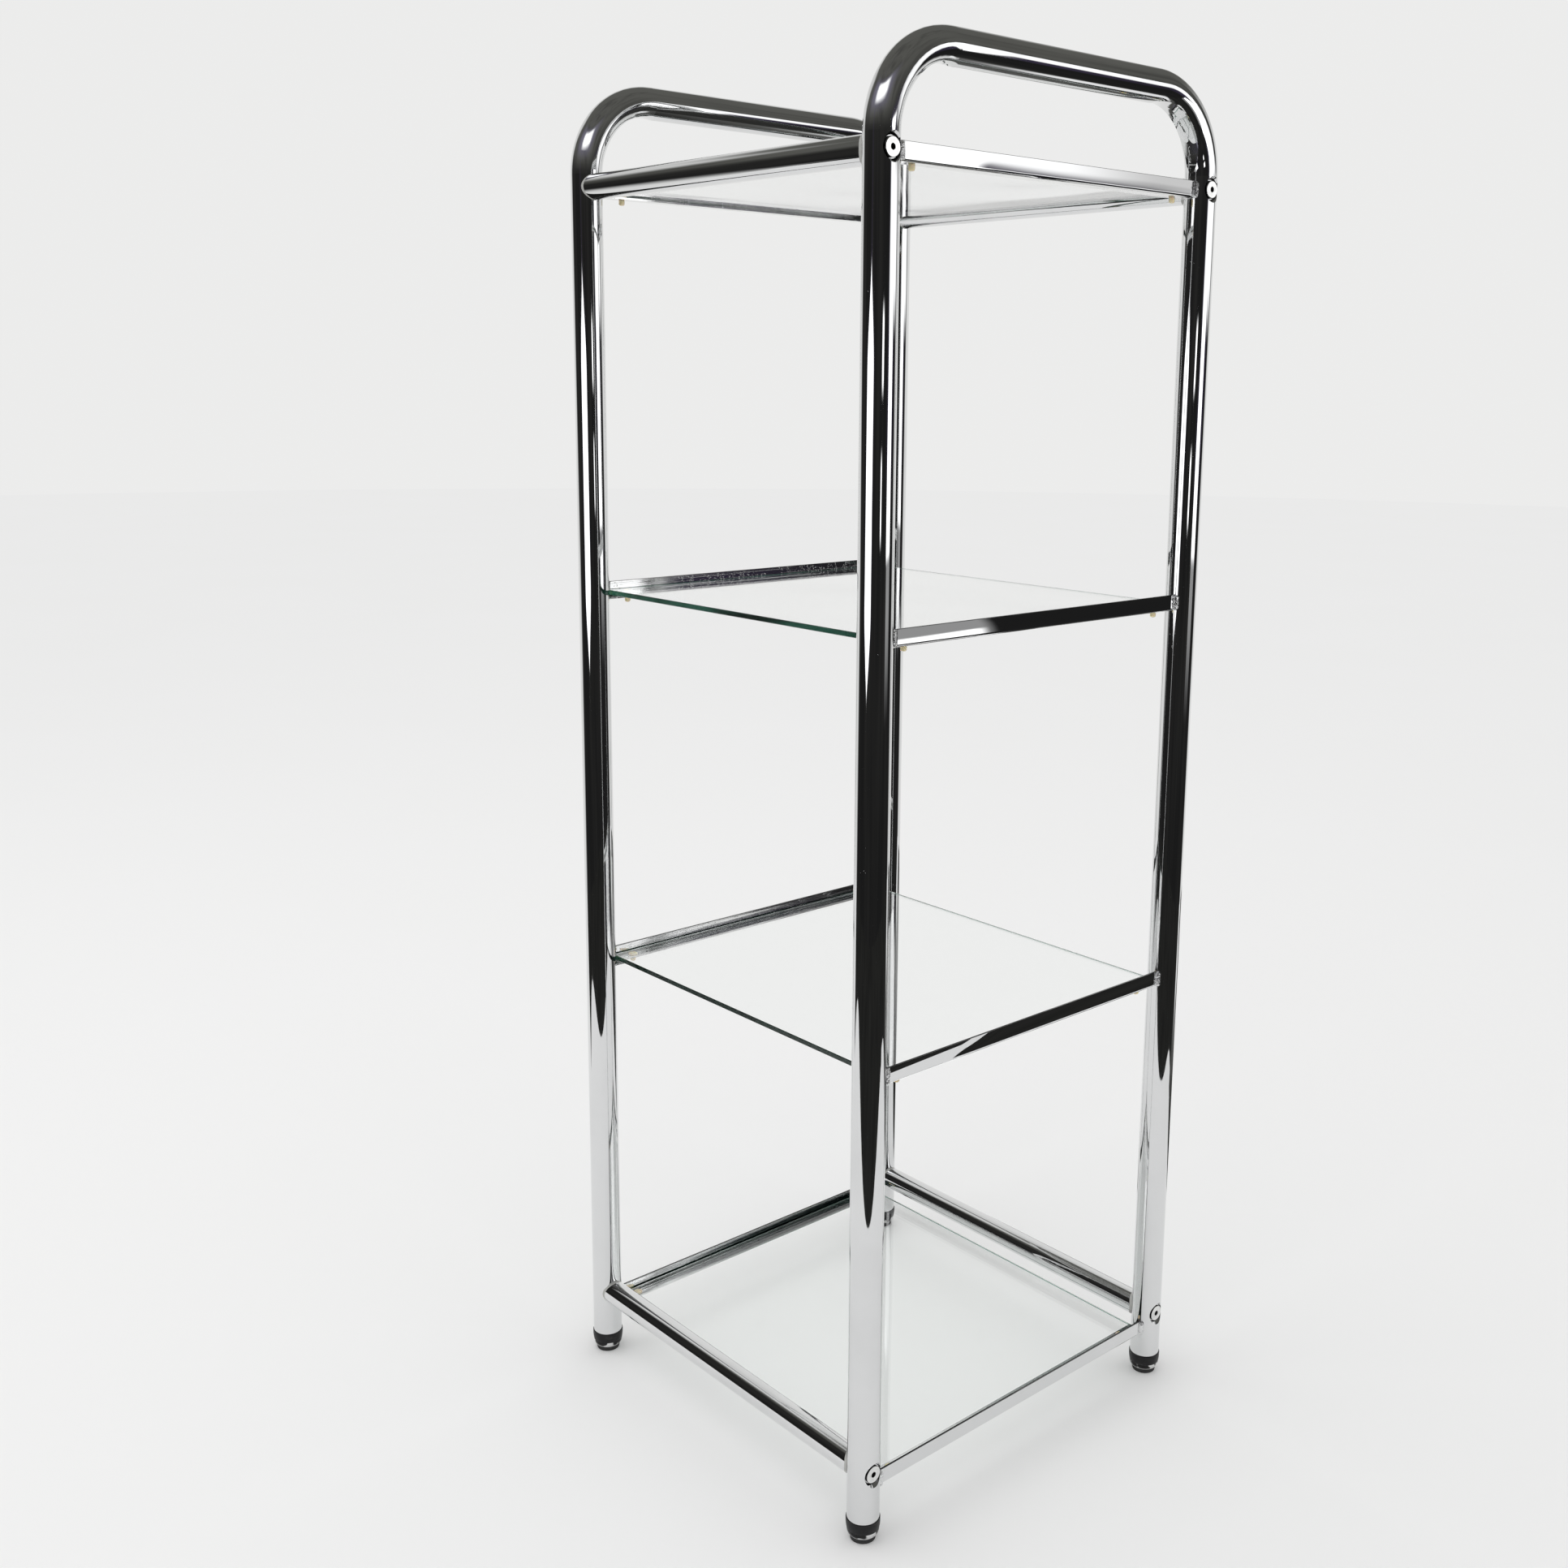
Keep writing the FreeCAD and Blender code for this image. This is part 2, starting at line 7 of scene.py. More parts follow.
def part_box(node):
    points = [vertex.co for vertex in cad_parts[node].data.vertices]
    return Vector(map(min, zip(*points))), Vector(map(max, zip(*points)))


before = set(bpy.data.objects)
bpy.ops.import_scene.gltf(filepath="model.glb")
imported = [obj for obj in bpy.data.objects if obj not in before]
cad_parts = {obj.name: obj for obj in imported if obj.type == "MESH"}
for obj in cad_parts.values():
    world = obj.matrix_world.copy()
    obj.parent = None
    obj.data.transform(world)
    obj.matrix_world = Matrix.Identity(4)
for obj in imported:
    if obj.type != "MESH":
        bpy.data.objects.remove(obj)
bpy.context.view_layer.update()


# The side frames are two steel tubes, each bent to an inverted U and chrome plated to a mirror.
# The plate follows the drawn steel, so reflections run slightly wavy along the tube,
# and handling has left a thin film and a few pin-head pits.
class Value:
    """An output of a material's nodes, so that shading is written as plain expressions."""

    def __init__(self, tree, socket):
        self.tree = tree
        self.socket = socket

    def node(self, kind, settings, inputs, output=0):
        """A new node with these settings, fed by constants and by other values."""
        made = self.tree.nodes.new(kind)
        for name, setting in settings.items():
            setattr(made, name, setting)
        for name, given in inputs.items():
            if isinstance(given, Value):
                self.tree.links.new(given.socket, made.inputs[name])
            else:
                made.inputs[name].default_value = given
        return Value(self.tree, made.outputs[output])

    def math(self, operation, *others):
        inputs = dict(enumerate((self,) + others))
        return self.node("ShaderNodeMath", {"operation": operation}, inputs)

    def __add__(self, other):
        return self.math("ADD", other)

    __radd__ = __add__

    def __mul__(self, other):
        return self.math("MULTIPLY", other)

    __rmul__ = __mul__

    def __sub__(self, other):
        return self.math("SUBTRACT", other)

    def __rsub__(self, other):
        return self.node("ShaderNodeMath", {"operation": "SUBTRACT"}, {0: other, 1: self})

    def __pow__(self, power):
        return self.math("POWER", power)

    def __abs__(self):
        return self.math("ABSOLUTE")

    def axis(self, name):
        return self.node("ShaderNodeSeparateXYZ", {}, {0: self}, name)

    def stretched(self, scale):
        return self.node("ShaderNodeMapping", {}, {"Vector": self, "Scale": scale})

    def noise(self, scale, detail=2.0):
        return self.node("ShaderNodeTexNoise", {}, {"Vector": self, "Scale": scale, "Detail": detail})

    def cells(self, scale):
        return self.node("ShaderNodeTexVoronoi", {}, {"Vector": self, "Scale": scale})

    def ray(self, kind):
        """What Light Path says of the ray that meets the surface."""
        return self.node("ShaderNodeLightPath", {}, {}, kind)

    def between(self, low, high):
        """A smooth step from 0 at low to 1 at high."""
        inputs = {"Value": self, "From Min": low, "From Max": high}
        return self.node("ShaderNodeMapRange", {"interpolation_type": "SMOOTHSTEP"}, inputs)

    def blend(self, first, second):
        """A colour that goes from the first to the second as this value goes from 0 to 1."""
        return self.node("ShaderNodeMix", {"data_type": "RGBA"}, {0: self, 6: first, 7: second}, 2)

    def bump(self, height):
        """The surface raised by this value times a height in metres."""
        return self.node("ShaderNodeBump", {}, {"Height": self, "Distance": height, "Strength": 1.0})

    def feeds(self, shader, name):
        self.tree.links.new(self.socket, shader.inputs[name])


def new_finish(name):
    """An empty material, its shader, and the place on the object that its pattern reads."""
    material = bpy.data.materials.new(name)
    material.use_nodes = True
    tree = material.node_tree
    shader = tree.nodes["Principled BSDF"]
    place = Value(tree, tree.nodes.new("ShaderNodeTexCoord").outputs["Object"])
    return material, shader, place


def dress(name, material):
    """Give a piece its finish."""
    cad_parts[name].material_slots[0].material = material


sides = ("left", "right")
tube_bright = (0.75, 0.755, 0.76, 1)
tube_handled = (0.67, 0.675, 0.68, 1)
film_share = 0.6
tube_roughness = 0.025
film_roughness = 0.035
spot_roughness = 0.3
spot_depth = 0.25
ripple_height = 0.0001
tube_plate, tube_shader, tube_place = new_finish("tube_plate")
tube_shader.inputs["Metallic"].default_value = 1.0
film = tube_place.noise(scale=14.0, detail=5.0).between(0.45, 0.75)
pits = 1.0 - tube_place.cells(scale=420.0).between(0.05, 0.12)
rare = tube_place.noise(scale=30.0).between(0.62, 0.7)
spots = pits * rare
(film * film_share).blend(tube_bright, tube_handled).feeds(tube_shader, "Base Color")
(tube_roughness + film * film_roughness + spots * spot_roughness).feeds(tube_shader, "Roughness")
ripple = tube_place.noise(scale=14.0) - spots * spot_depth
ripple.bump(ripple_height).feeds(tube_shader, "Normal")
for side in sides:
    dress(f"{side}_side_frame", tube_plate)

# The shelf rails are steel angles welded between the legs and plated with them.
# Their outer face is bright, the inner side, where glass has rubbed for years, is dull and pitted,
# and the weld beads at their ends are lumpy.
levels = ("bottom", "lower", "upper", "top")
level_gaps = (0.2, 0.5, 0.8)
gap_fade = 0.01
ledge_width = 0.013
face_skin = 0.0004
weld_start = 0.1505
weld_end = 0.153
rail_bright = (0.76, 0.765, 0.77, 1)
rail_rubbed = (0.48, 0.48, 0.47, 1)
rail_greyer = (0.4, 0.4, 0.4, 1)
rail_dark_green = (0.11, 0.145, 0.135, 1)
rail_edge_black = (0.1, 0.1, 0.1, 1)
rail_roughness = 0.015
inner_roughness = 0.01
rub_roughness = 0.06
rail_pit_roughness = 0.3
top_edge_roughness = 0.2
rail_plate, rail_shader, rail_place = new_finish("rail_plate")
rail_shader.inputs["Metallic"].default_value = 1.0
along = rail_place.axis("Y")
rail_height = rail_place.axis("Z")

# A place on a rail is on its outer face or inside, on one of the levels, and so far up the face.
outer_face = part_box("right_rail_lower")[0].x + ledge_width
outside = abs(rail_place.axis("X")).between(outer_face - 3 * face_skin, outer_face - face_skin)
inside = 1.0 - outside
past_gaps = [rail_height.between(gap, gap + gap_fade) for gap in level_gaps]
at_bottom = 1.0 - past_gaps[0]
at_lower = past_gaps[0] - past_gaps[1]
at_upper = past_gaps[1] - past_gaps[2]
at_top = past_gaps[2]
face_middles = [sum(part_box(f"right_rail_{level}"), Vector()).z / 2 for level in levels]
face_middle = face_middles[0]
for past, below, above in zip(past_gaps, face_middles, face_middles[1:]):
    face_middle = face_middle + past * (above - below)
up_face = rail_height - face_middle
rear = along.between(-0.02, 0.12)

# Glass has rubbed and pitted the inside, and the bottom pair is darker and greener there towards the
# rear.
# The top pair is greyer on the upper half of its outer face towards the rear, and the upper edge of every
# rail is painted dark as a painted reflection.
rubbed = rail_place.stretched((300.0, 14.0, 300.0)).noise(scale=1.0, detail=4.0).between(0.4, 0.7)
pocked = 1.0 - rail_place.cells(scale=700.0).between(0.1, 0.3)
pitted = pocked * rail_place.noise(scale=60.0).between(0.45, 0.6)
# The outer face of the top pair is greyer high up towards the rear.
greyer_top_rear = outside * at_top * rear * up_face.between(-0.005, 0.0)
# The inside of the bottom pair is darker and greener towards the rear.
darker_inside_rear = inside * at_bottom * (1.0 - up_face.between(0.003, 0.005)) * along.between(-0.13, 0.03)
# Painted reflection: the upper edge of each rail is painted near black.
painted_reflection_edge = up_face.between(0.006, 0.0064)
dull = inside * (rubbed * 0.5 + pitted * 0.5)
rail_colour = dull.blend(rail_bright, rail_rubbed)
rail_colour = greyer_top_rear.blend(rail_colour, rail_greyer)
rail_colour = darker_inside_rear.blend(rail_colour, rail_dark_green)
painted_reflection_edge.blend(rail_colour, rail_edge_black).feeds(rail_shader, "Base Color")
handled = inner_roughness + rubbed * rub_roughness + pitted * rail_pit_roughness
(rail_roughness + inside * handled + painted_reflection_edge * top_edge_roughness).feeds(rail_shader, "Roughness")

# The outer faces are slightly hollow, or swell on the lower level, and the welds have pulled them
# out of upright. These slopes and curves are small, but a mirror shows them.
face_curve = 4.0
lower_lean = 0.0635
lower_twist = 0.45
lower_kink = 0.14
upper_lean = 0.055
top_lean = 0.015
hollow = outside * up_face ** 2.0 * (face_curve - at_lower * (2 * face_curve))
kinked = (along - up_face * 3.0).between(-0.09, -0.04)
twist = lower_lean + along * lower_twist - kinked * lower_kink
leaning = outside * up_face * (at_lower * twist - at_upper * upper_lean - at_top * rear * top_lean)

# Rolling has left both sides wavy, and the inside is dished, scratched and pitted.
# The ends are lumpy and spattered from welding.
outer_wave = 0.00003
inner_wave = 0.0002
dish_slope = -0.03
scratch_depth = 0.00003
rail_pit_depth = 0.0002
lump_height = 0.0011
spatter_height = 0.0003
rolled = rail_place.stretched((150.0, 7.0, 150.0)).noise(scale=1.0, detail=1.0)
rolled = rolled * (outer_wave + inside * inner_wave)
dished = inside * along * dish_slope
scratched = inside * rail_place.stretched((1500.0, 9.0, 1500.0)).noise(scale=1.0) * scratch_depth
at_weld = abs(along).between(weld_start, weld_end)
lumps = rail_place.noise(scale=420.0) * lump_height
spatter = rail_place.noise(scale=1500.0) * spatter_height
relief = rolled + dished + hollow + leaning + at_weld * (lumps + spatter)
relief = relief + scratched - inside * pitted * rail_pit_depth
relief.bump(height=1.0).feeds(rail_shader, "Normal")
for side in sides:
    for level in levels:
        dress(f"{side}_rail_{level}", rail_plate)

# The cross tubes are lengths of the same drawn steel, thinner than the legs and plated with them.
# They hold the side frames apart at the front and the rear, and a bolt through each leg draws them tight.
depths = ("front", "rear")
tube_levels = ("bottom", "top")
for depth in depths:
    for level in tube_levels:
        dress(f"{depth}_cross_tube_{level}", tube_plate)

# The saddle plugs are grey mouldings that fill the ends of the cross tubes and take the bolts.
# Only a thin lip of each shows, between the tube and the leg.
plug_dark = (0.34, 0.34, 0.33, 1)
plug_light = (0.48, 0.48, 0.46, 1)
plug_roughness = 0.38
plug_grain_roughness = 0.2
plug_grain_height = 0.00005
plug_moulding, plug_shader, plug_place = new_finish("plug_moulding")
plug_grain = plug_place.noise(scale=900.0, detail=3.0)
plug_cloud = plug_place.noise(scale=160.0)
plug_cloud.blend(plug_dark, plug_light).feeds(plug_shader, "Base Color")
(plug_roughness + plug_grain * plug_grain_roughness).feeds(plug_shader, "Roughness")
plug_grain.bump(plug_grain_height).feeds(plug_shader, "Normal")
for depth in depths:
    for side in sides:
        for level in tube_levels:
            dress(f"saddle_plug_{depth}_{side}_{level}", plug_moulding)

# The bolts have flat turned heads with a hexagon socket, plated like the tubes but duller.
# The lathe has left fine rings round the middle of each head,
# and the socket and the rim are painted near black, as painted shade in the socket and a painted shadow
# and reflection at the rim.
bolt_bright = (0.8, 0.8, 0.79, 1)
bolt_worn = (0.7, 0.7, 0.69, 1)
bolt_painted_shade = (0.03, 0.03, 0.03, 1)
socket_radius = 0.0019
socket_lip = 0.0024
rim_start = 0.0063
rim_radius = 0.0066
ring_rate = 9000.0
ring_height = 0.000002
bolt_roughness = 0.1
worn_roughness = 0.08
bolt_plate, bolt_shader, bolt_place = new_finish("bolt_plate")
bolt_shader.inputs["Metallic"].default_value = 1.0
low_axis = sum(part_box("front_cross_tube_bottom"), Vector()) / 2
high_axis = sum(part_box("front_cross_tube_top"), Vector()) / 2
level_middle = (low_axis.z + high_axis.z) / 2
level_reach = (high_axis.z - low_axis.z) / 2
across = abs(bolt_place.axis("Y")) - abs(low_axis.y)
upright = abs(bolt_place.axis("Z") - level_middle) - level_reach
from_middle = (across ** 2.0 + upright ** 2.0) ** 0.5
rings = (from_middle * ring_rate).math("SINE")
worn = bolt_place.noise(scale=240.0, detail=4.0).between(0.4, 0.7)
# Painted shade: the socket and the rim of each head are painted near black.
socket_shade = 1.0 - from_middle.between(socket_radius, socket_lip)
rim_shade = from_middle.between(rim_start, rim_radius)
bolt_colour = worn.blend(bolt_bright, bolt_worn)
(socket_shade + rim_shade).blend(bolt_colour, bolt_painted_shade).feeds(bolt_shader, "Base Color")
(bolt_roughness + worn * worn_roughness).feeds(bolt_shader, "Roughness")
rings.bump(ring_height).feeds(bolt_shader, "Normal")
dress("bolts", bolt_plate)

# The bumpers are soft clear plastic studs that have gone yellow with age.
# Their heads carry the glass, and their tails hang under the ledges of the rails.
bumper_pale = (0.95, 0.86, 0.62, 1)
bumper_yellow = (0.86, 0.72, 0.44, 1)
bumper_roughness = 0.2
yellowed_roughness = 0.2
bumper_grain_height = 0.00005
bumper_vinyl, bumper_shader, bumper_place = new_finish("bumper_vinyl")
bumper_shader.inputs["Subsurface Weight"].default_value = 0.6
bumper_shader.inputs["Subsurface Radius"].default_value = (0.004, 0.003, 0.0015)
bumper_shader.inputs["Transmission Weight"].default_value = 0.25
bumper_shader.inputs["IOR"].default_value = 1.45
yellowed = bumper_place.noise(scale=350.0, detail=3.0)
yellowed.blend(bumper_pale, bumper_yellow).feeds(bumper_shader, "Base Color")
(bumper_roughness + yellowed * yellowed_roughness).feeds(bumper_shader, "Roughness")
yellowed.bump(bumper_grain_height).feeds(bumper_shader, "Normal")
for level in levels:
    dress(f"bumpers_{level}", bumper_vinyl)

# The shelves are plain float glass, cut with rounded corners and ground along the edge.
# The faces are clear, and the edge, seen through the depth of the sheet, is dark green, with a painted
# green glow.
# They lie loose on the bumpers, and let a lamp's light through almost whole.
glass_clear = (0.985, 0.995, 0.99, 1)
glass_dusty = (0.97, 0.98, 0.975, 1)
glass_green = (0.13, 0.31, 0.23, 1)
glass_shade = (0.985, 0.992, 0.988, 1)
no_glow = (0.0, 0.0, 0.0, 1)
painted_edge_glow = (0.012, 0.05, 0.034, 1)
edge_band = 0.0007
edge_ground = edge_band * 0.6
edge_roughness = 0.25
glass_wave = 0.0003
float_glass, glass_shader, glass_place = new_finish("float_glass")
glass_shader.inputs["Transmission Weight"].default_value = 1.0
glass_shader.inputs["IOR"].default_value = 1.52
glass_shader.inputs["Emission Strength"].default_value = 1.0
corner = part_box("glass_shelf_lower")[1]
edge_x = abs(glass_place.axis("X")).between(corner.x - edge_band, corner.x - edge_ground)
edge_y = abs(glass_place.axis("Y")).between(corner.y - edge_band, corner.y - edge_ground)
edge = edge_x.math("MAXIMUM", edge_y)
dust = glass_place.noise(scale=60.0, detail=6.0).between(0.55, 0.8)
glass_face = dust.blend(glass_clear, glass_dusty)
edge.blend(glass_face, glass_green).feeds(glass_shader, "Base Color")
(edge * edge_roughness).feeds(glass_shader, "Roughness")
# Painted light: the edge glows green in patches, more on the upper two shelves.
painted_glow_share = glass_place.stretched((14.0, 14.0, 60.0)).noise(scale=1.0).between(0.3, 0.7)
painted_glow_share = painted_glow_share * (0.3 + glass_place.axis("Z").between(0.4, 0.6) * 0.7)
(edge * painted_glow_share).blend(no_glow, painted_edge_glow).feeds(glass_shader, "Emission Color")
glass_place.noise(scale=3.0).bump(glass_wave).feeds(glass_shader, "Normal")
glass_tree = float_glass.node_tree
sheet = Value(glass_tree, glass_shader.outputs[0])
clear = sheet.node("ShaderNodeBsdfTransparent", {}, {"Color": glass_shade})
from_lamp = sheet.ray("Is Shadow Ray").math("MAXIMUM", sheet.ray("Is Diffuse Ray"))
let_through = sheet.node("ShaderNodeMixShader", {}, {0: from_lamp, 1: sheet, 2: clear})
let_through.feeds(glass_tree.nodes["Material Output"], "Surface")
for level in levels:
    dress(f"glass_shelf_{level}", float_glass)

# The collars of the feet are black mouldings, each pushed into the lower end of a leg by its insert.
# Scuffs run round them, a little paler than the grain.
collar_black = (0.012, 0.012, 0.013, 1)
collar_scuffed = (0.035, 0.035, 0.035, 1)
collar_roughness = 0.3
collar_grain_roughness = 0.2
scuff_roughness = 0.15
collar_grain_height = 0.00005
collar_moulding, collar_shader, collar_place = new_finish("collar_moulding")
collar_shader.inputs["Specular IOR Level"].default_value = 0.2
collar_grain = collar_place.noise(scale=700.0, detail=4.0)
collar_scuff = collar_place.stretched((1.0, 1.0, 6.0)).noise(scale=130.0, detail=3.0).between(0.55, 0.75)
collar_scuff.blend(collar_black, collar_scuffed).feeds(collar_shader, "Base Color")
collar_marks = collar_grain * collar_grain_roughness + collar_scuff * scuff_roughness
(collar_roughness + collar_marks).feeds(collar_shader, "Roughness")
collar_grain.bump(collar_grain_height).feeds(collar_shader, "Normal")
for depth in depths:
    for side in sides:
        dress(f"foot_collar_{depth}_{side}", collar_moulding)

# The domes under the collars are pressed from steel and plated to a mirror.
# Above the rim they are painted dark in patches, as a painted dark reflection.
dome_bright = (0.75, 0.75, 0.75, 1)
dome_painted_dark = (0.03, 0.03, 0.03, 1)
dome_roughness = 0.04
dark_patch_roughness = 0.1
dome_ripple = 0.0001
dome_plate, dome_shader, dome_place = new_finish("dome_plate")
dome_shader.inputs["Metallic"].default_value = 1.0
dome_low, dome_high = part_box("foot_dome_front_right")
dome_rise = dome_high.z - dome_low.z
dark_patch_start = dome_low.z + dome_rise * 0.15
dark_patch_full = dome_low.z + dome_rise * 0.35
patchy = dome_place.noise(scale=130.0, detail=1.0).between(0.42, 0.5)
# Painted reflection: patches above the rim are painted near black.
painted_dark_patches = dome_place.axis("Z").between(dark_patch_start, dark_patch_full) * patchy
painted_dark_patches.blend(dome_bright, dome_painted_dark).feeds(dome_shader, "Base Color")
(dome_roughness + painted_dark_patches * dark_patch_roughness).feeds(dome_shader, "Roughness")
dome_place.noise(scale=60.0).bump(dome_ripple).feeds(dome_shader, "Normal")
for depth in depths:
    for side in sides:
        dress(f"foot_dome_{depth}_{side}", dome_plate)

# The pads are discs of black rubber under the domes, matt and grainy.
# They keep the steel off the floor.
pad_black = (0.012, 0.012, 0.012, 1)
pad_grey = (0.03, 0.03, 0.03, 1)
pad_roughness = 0.6
pad_grain_roughness = 0.25
pad_grain_height = 0.0001
pad_rubber, pad_shader, pad_place = new_finish("pad_rubber_black")
pad_grain = pad_place.noise(scale=1400.0, detail=5.0)
pad_grain.blend(pad_black, pad_grey).feeds(pad_shader, "Base Color")
(pad_roughness + pad_grain * pad_grain_roughness).feeds(pad_shader, "Roughness")
pad_grain.bump(pad_grain_height).feeds(pad_shader, "Normal")
for depth in depths:
    for side in sides:
        dress(f"foot_pad_{depth}_{side}", pad_rubber)

# The studio floor is a wide pale disc, painted matt.
# It takes the shadow of the stand and runs on to the edge of the picture.
floor_radius = 12.0
floor_pale = (0.87, 0.87, 0.865, 1)
floor_paler = (0.88, 0.88, 0.88, 1)
bpy.context.scene.view_settings.view_transform = "Standard"
bpy.ops.object.select_all(action="DESELECT")
bpy.ops.mesh.primitive_circle_add(vertices=128, radius=floor_radius, fill_type="NGON")
floor = bpy.context.object
floor.name = "studio_floor"
floor_paint, floor_shader, floor_place = new_finish("floor_paint")
floor_shader.inputs["Roughness"].default_value = 0.6
floor_shader.inputs["Specular IOR Level"].default_value = 0.0
floor_place.noise(scale=2.0, detail=3.0).blend(floor_pale, floor_paler).feeds(floor_shader, "Base Color")
floor.data.materials.append(floor_paint)


# A round room stands about the studio, and the plating alone sees it.
# It has a white wall behind the stand, gloom in front, and windows and lamps as patches of light.
# A bearing is in degrees round the room, and a height is in metres.
def delete_faces(card, unwanted):
    """Delete the faces of a new mesh that the test picks out."""
    bpy.ops.object.mode_set(mode="EDIT")
    bpy.ops.mesh.select_all(action="DESELECT")
    bpy.ops.object.mode_set(mode="OBJECT")
    for face in card.data.polygons:
        face.select = unwanted(face)
    bpy.ops.object.mode_set(mode="EDIT")
    bpy.ops.mesh.delete(type="FACE")
    bpy.ops.object.mode_set(mode="OBJECT")


def show_in_mirrors(card, material, shader, colour):
    """Let a card glow in the plating: a look through glass, or off its near face, goes on past it."""
    tree = material.node_tree
    tree.nodes.remove(shader)
    glow = colour.node("ShaderNodeEmission", {}, {"Color": colour})
    nothing = colour.node("ShaderNodeBsdfTransparent", {}, {})
    bounces = colour.ray("Glossy Depth")
    once = bounces.math("GREATER_THAN", 0.5)
    again = bounces.math("GREATER_THAN", 1.5)
    off_glass = colour.ray("Is Singular Ray") * colour.ray("Is Reflection Ray")
    mirrored = once - off_glass * (once - again)
    either = colour.node("ShaderNodeMixShader", {}, {0: mirrored, 1: nothing, 2: glow})
    either.feeds(tree.nodes["Material Output"], "Surface")
    card.data.materials.append(material)
    card.visible_camera = False
    card.visible_diffuse = False
    card.visible_volume_scatter = False
    card.visible_shadow = False


room_radius = 1.6
room_height = 3.3
facing = math.radians(35.0)
wall_left = (100.0, 112.0)
wall_right = (-120.0, -104.0)
wall_slant = 9.0
gloom_low = (0.014, 0.014, 0.014, 1)
gloom_high = (0.115, 0.115, 0.105, 1)
gloom_cloud = (0.035, 0.034, 0.032, 1)
wall_low = (0.85, 0.85, 0.84, 1)
wall_high = (0.7, 0.7, 0.69, 1)
wall_shade = (0.12, 0.12, 0.11, 1)
violet = (0.07, 0.055, 0.11, 1)
pale_violet = (0.3, 0.28, 0.4, 1)
dim_grey = (0.35, 0.35, 0.35, 1)
bright_white = (1.4, 1.4, 1.4, 1)
daylight = (2.0, 2.0, 2.0, 1)
bpy.ops.object.select_all(action="DESELECT")
bpy.ops.mesh.primitive_cylinder_add(
    vertices=180,
    radius=room_radius,
    depth=room_height,
    end_fill_type="NGON",
    location=(0, 0, room_height / 2),
)
room = bpy.context.object
room.name = "mirrored_room"
bpy.ops.object.transform_apply(location=True)
delete_faces(room, lambda face: face.normal.z < -0.5)
room_glow, room_shader, room_place = new_finish("room_glow")
east = room_place.axis("X")
north = room_place.axis("Y")
height = room_place.axis("Z")
ahead = east * math.cos(facing) - north * math.sin(facing)
aside = east * math.sin(facing) + north * math.cos(facing)
bearing = aside.math("ARCTAN2", ahead).math("DEGREES")

# The gloom lightens upwards, and the wall is shaded near the ceiling and high up at one end.
gloom = height.between(1.1, 1.7).blend(gloom_low, gloom_high)
gloom = (room_place.noise(scale=1.5).between(0.4, 0.75) * 0.5).blend(gloom, gloom_cloud)
slanted = bearing + height.between(0.4, 1.0) * wall_slant
wall = bearing.between(*wall_left) + (1.0 - slanted.between(*wall_right))
wall_white = height.between(1.1, 2.2).blend(wall_low, wall_high)
shaded = height.between(1.2, 1.9) * bearing.between(80.0, 100.0) * (1.0 - bearing.between(140.0, 172.0))
shaded = shaded.math("MAXIMUM", height.between(2.1, 2.45))
wall_white = shaded.blend(wall_white, wall_shade)
lit = wall.blend(gloom, wall_white)

# One window is drawn in to a point at its foot and its head, inside a violet glow.
window_bearing = -51.0
window_reach = 20.0
window_inset = 2.0
pointed = (1.0 - height.between(0.335, 0.51)) + height.between(0.86, 1.06)
inward = (1.0 - pointed) * window_reach - window_inset - abs(bearing - window_bearing)
lit = (inward.between(-6.0, 0.0) * height.between(0.36, 0.44) * 0.5).blend(lit, violet)
lit = inward.between(-1.5, 1.5).blend(lit, daylight)

# The other lights: bearings from and to, heights from and to, the softness of both, strength and colour.
room_lights = (
    (42.0, 84.0, 0.7, 1.34, 6.0, 0.08, 0.5, violet),
    (50.0, 75.5, 0.4, 0.8, 0.5, 0.1, 1.0, dim_grey),
    (48.0, 75.0, 0.58, 1.28, 0.5, 0.015, 1.0, daylight),
    (46.0, 98.0, 0.96, 1.2, 4.0, 0.05, 1.0, bright_white),
    (10.0, 15.0, 0.62, 0.74, 1.5, 0.02, 1.0, daylight),
    (10.0, 18.0, 0.84, 0.95, 1.5, 0.02, 1.0, daylight),
    (-88.0, 14.0, 1.75, 2.7, 20.0, 0.3, 0.5, pale_violet),
    (-58.0, -6.0, 1.95, 2.55, 10.0, 0.16, 1.0, daylight),
)
for left, right, low, high, soft, soft_height, strength, light_colour in room_lights:
    reach = bearing.between(left - soft, left + soft)
    reach = reach * (1.0 - bearing.between(right - soft, right + soft))
    rise = height.between(low - soft_height, low + soft_height)
    rise = rise * (1.0 - height.between(high - soft_height, high + soft_height))
    lit = (reach * rise * strength).blend(lit, light_colour)
show_in_mirrors(room, room_glow, room_shader, lit)

# A dark floor lies round an oval clearing under the stand, and the plating alone sees it too.
# It is open towards the white wall, paler in the far corner, and a strip of light falls across it.
clearing_length = 1.06
clearing_width = 0.53
clearing_turn = math.radians(52.0)
clearing_middle = Vector((0.097, -0.202, 0.0005))
floor_spread = 3.0
open_east = -0.4
open_north = -0.9
floor_dark = (0.008, 0.008, 0.008, 1)
floor_cloud = (0.03, 0.03, 0.028, 1)
floor_corner = (0.13, 0.13, 0.125, 1)
floor_strip = (1.0, 1.0, 1.0, 1)
bpy.ops.object.select_all(action="DESELECT")
bpy.ops.mesh.primitive_circle_add(vertices=128, radius=1.0, fill_type="NOTHING", location=clearing_middle)
dark_floor = bpy.context.object
dark_floor.name = "dark_floor"
dark_floor.scale = (clearing_length, clearing_width, 1.0)
dark_floor.rotation_euler.z = clearing_turn
bpy.ops.object.transform_apply(location=True, rotation=True, scale=True)
bpy.ops.object.mode_set(mode="EDIT")
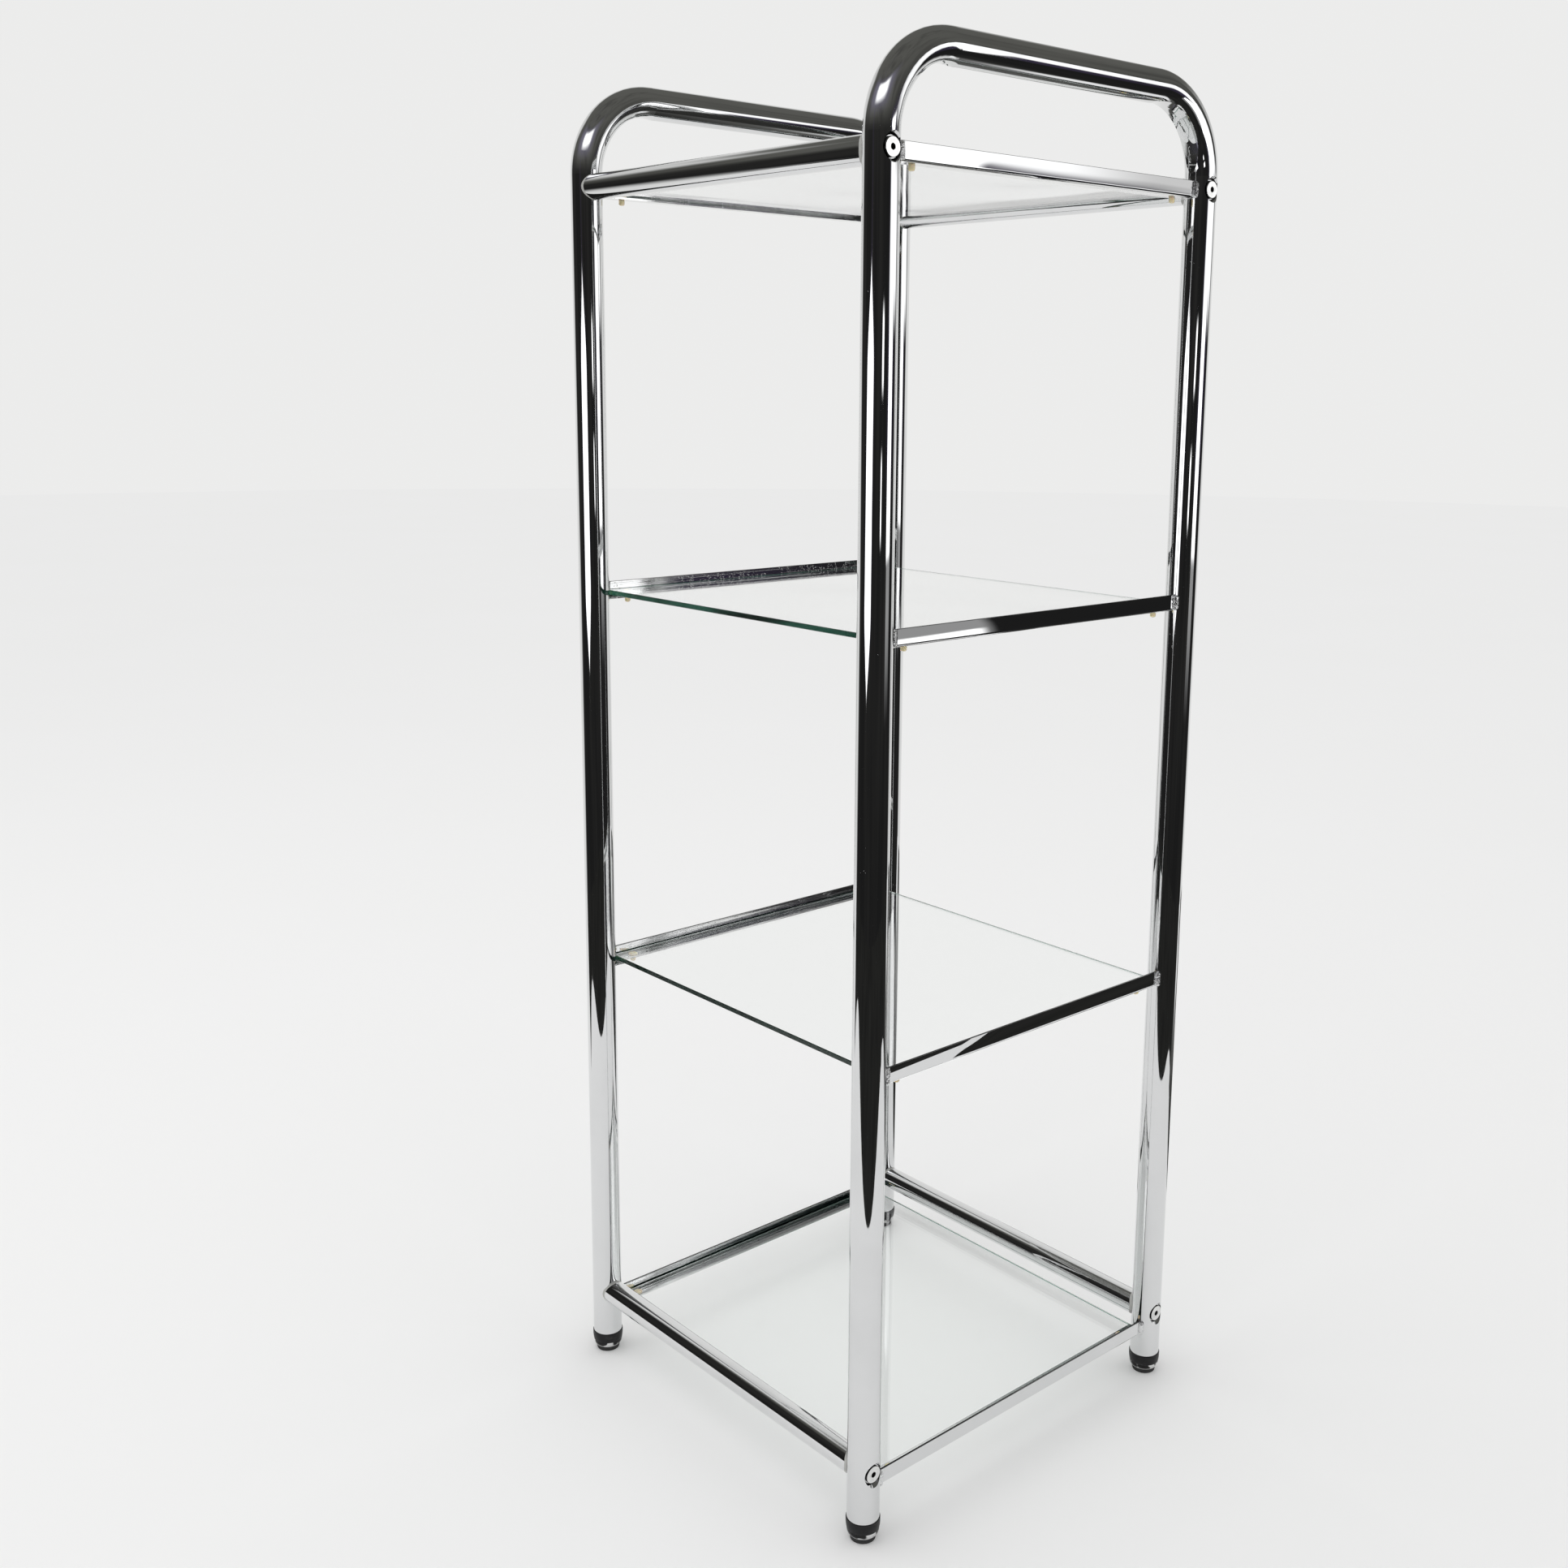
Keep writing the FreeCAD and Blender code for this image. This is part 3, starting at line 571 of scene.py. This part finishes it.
bpy.ops.mesh.select_mode(type="EDGE")
bpy.ops.mesh.select_all(action="SELECT")
bpy.ops.mesh.extrude_region_move()
bpy.ops.transform.resize(value=(floor_spread, floor_spread, 1.0), center_override=clearing_middle)
bpy.ops.mesh.select_mode(type="FACE")
delete_faces(dark_floor, lambda face: face.center.x < open_east and face.center.y > open_north)
gloom_floor, gloom_shader, gloom_place = new_finish("gloom_floor")
floor_east = gloom_place.axis("X")
floor_north = gloom_place.axis("Y")
floor_gloom = gloom_place.noise(scale=4.0, detail=3.0).blend(floor_dark, floor_cloud)
far_corner = floor_north.between(0.6, 0.95) * (1.0 - floor_east.between(0.45, 0.65))
floor_gloom = (far_corner * 0.8).blend(floor_gloom, floor_corner)
floor_bearing = floor_north.math("ARCTAN2", floor_east).math("DEGREES")
strip = floor_bearing.between(66.0, 70.0) * (1.0 - floor_bearing.between(79.0, 84.0))
strip = strip * floor_north.between(0.9, 1.2)
show_in_mirrors(dark_floor, gloom_floor, gloom_shader, strip.blend(floor_gloom, floor_strip))

# The sky is an even white that lights the stand from all sides.
# The camera, mirrors and glass see it a shade darker, as a plain pale backdrop.
sky_white = (1.0, 1.0, 1.0, 1)
sky_strength = 0.94
backdrop_pale = (0.84, 0.84, 0.835, 1)
world = bpy.data.worlds.new("studio_sky")
bpy.context.scene.world = world
world.use_nodes = True
sky_tree = world.node_tree
sky_shader = sky_tree.nodes["Background"]
sky_shader.inputs["Color"].default_value = sky_white
sky_shader.inputs["Strength"].default_value = sky_strength
sky = Value(sky_tree, sky_shader.outputs[0])
backdrop = sky.node("ShaderNodeBackground", {}, {"Color": backdrop_pale})
seen = sky.ray("Is Camera Ray")
seen = seen.math("MAXIMUM", sky.ray("Is Glossy Ray"))
seen = seen.math("MAXIMUM", sky.ray("Is Transmission Ray"))
either = sky.node("ShaderNodeMixShader", {}, {0: seen, 1: sky, 2: backdrop})
either.feeds(sky_tree.nodes["World Output"], "Surface")

# A wide soft lamp hangs high in front on the left and points at the foot of the stand.
# It gives the shadows a side, and the plating does not see it.
lamp_place = Vector((-0.8, -1.2, 2.6))
lamp_target = Vector((0, 0, 0.4))
lamp = bpy.data.lights.new("soft_box", "AREA")
lamp.shape = "DISK"
lamp.size = 2.5
lamp.energy = 8.0
lamp_stand = bpy.data.objects.new("soft_box", lamp)
bpy.context.scene.collection.objects.link(lamp_stand)
lamp_stand.location = lamp_place
lamp_stand.rotation_euler = (lamp_target - lamp_place).to_track_quat("-Z", "Y").to_euler()
lamp_stand.visible_glossy = False
lamp_stand.visible_camera = False

# The camera stands a little above the upper shelf, off the front right leg, and looks slightly down.
# Its lens, its lean and its off-centre frame are those that fit the edges of the stand.
image_side = 1932
focal_pixels = 2076.97
principal_x = 1041.63
principal_y = 875.0
camera_place = (0.99094, -0.93514, 0.85308)
turn = math.radians(47.96)
tilt = math.radians(-11.11)
lean = math.radians(0.584)
camera_data = bpy.data.cameras.new("camera")
camera_data.sensor_width = 36.0
camera_data.lens = camera_data.sensor_width * focal_pixels / image_side
camera_data.shift_x = (image_side / 2 - principal_x) / image_side
camera_data.shift_y = (principal_y - image_side / 2) / image_side
camera = bpy.data.objects.new("camera", camera_data)
bpy.context.scene.collection.objects.link(camera)
aim = Matrix.Rotation(turn, 4, "Z") @ Matrix.Rotation(math.pi / 2 + tilt, 4, "X")
aim = aim @ Matrix.Rotation(lean, 4, "Z")
camera.matrix_world = Matrix.Translation(camera_place) @ aim
bpy.context.scene.camera = camera
